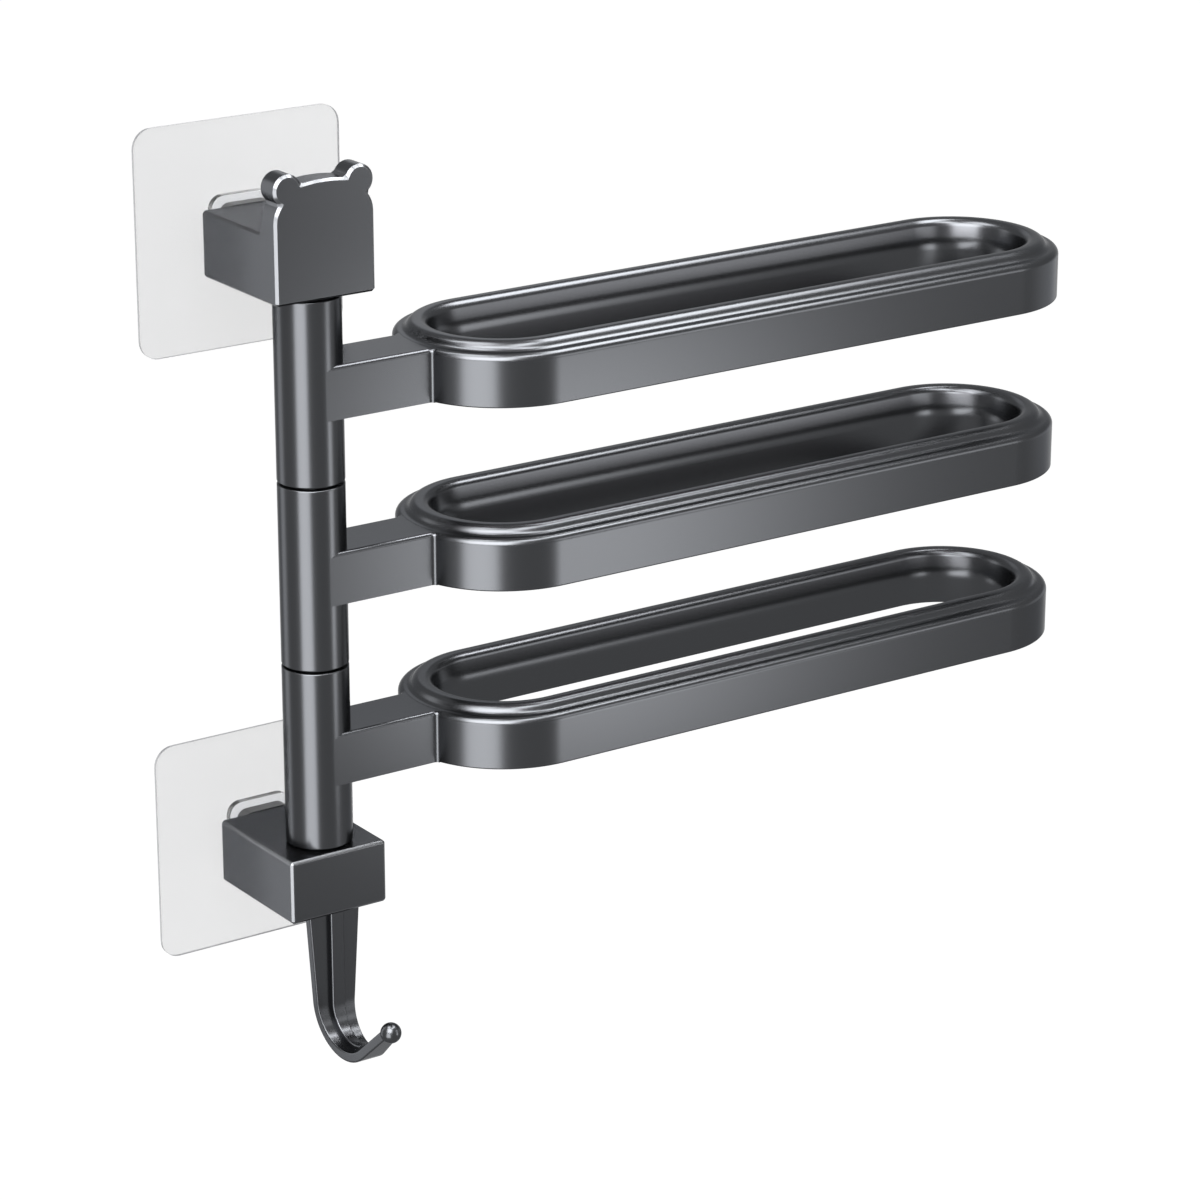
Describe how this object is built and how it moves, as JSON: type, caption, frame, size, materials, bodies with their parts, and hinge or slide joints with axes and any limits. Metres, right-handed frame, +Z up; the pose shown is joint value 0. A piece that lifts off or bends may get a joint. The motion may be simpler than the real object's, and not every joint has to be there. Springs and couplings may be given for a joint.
{
  "type": "swing arm towel bar",
  "caption": "Wall towel rack: round-ended loops that swing on an upright post between two brackets, hung on clear adhesive pads, with a ball-ended hook below.",
  "frame": {"origin": "centre of the upper pad's back face, on the wall", "axes": "+X along the wall, the way the arms point at rest; +Y into the wall; +Z up"},
  "size_m": [0.3573, 0.0941, 0.3237],
  "materials": {
    "gunmetal": "satin metallic coating on moulded ABS",
    "dark_moulding": "satin moulded ABS",
    "clear_film": "clear polyester film",
    "clear_moulding": "clear moulded polycarbonate",
    "adhesive": "clear acrylic gel",
    "steel": "zinc-plated",
    "acetal": "black moulded acetal"
  },
  "bodies": {
    "wall_rack": {"upper_adhesive": "adhesive", "upper_pad": "clear_film", "upper_hanger": "clear_moulding", "upper_socket": "dark_moulding", "upper_bracket": "gunmetal", "lower_adhesive": "adhesive", "lower_pad": "clear_film", "lower_hanger": "clear_moulding", "lower_socket": "dark_moulding", "lower_bracket": "gunmetal", "socket_screws": "steel", "post_shaft": "steel", "shaft_screw": "steel", "hook": "gunmetal", "first_washer": "acetal", "second_washer": "acetal", "third_washer": "acetal", "fourth_washer": "acetal"},
    "top_arm": {"top_arm": "gunmetal", "top_arm_upper_bush": "acetal", "top_arm_lower_bush": "acetal"},
    "middle_arm": {"middle_arm": "gunmetal", "middle_arm_upper_bush": "acetal", "middle_arm_lower_bush": "acetal"},
    "bottom_arm": {"bottom_arm": "gunmetal", "bottom_arm_upper_bush": "acetal", "bottom_arm_lower_bush": "acetal"}
  },
  "joints": [
    {"name": "top_swing", "type": "hinge", "parent": "wall_rack", "child": "top_arm", "pos_m": [0, -0.0449, -0.04485], "axis": [0, 0, -1], "range_deg": [0, 180]},
    {"name": "middle_swing", "type": "hinge", "parent": "wall_rack", "child": "middle_arm", "pos_m": [0, -0.0449, -0.11045], "axis": [0, 0, -1], "range_deg": [0, 180]},
    {"name": "bottom_swing", "type": "hinge", "parent": "wall_rack", "child": "bottom_arm", "pos_m": [0, -0.0449, -0.17605], "axis": [0, 0, -1], "range_deg": [0, 180]}
  ]
}
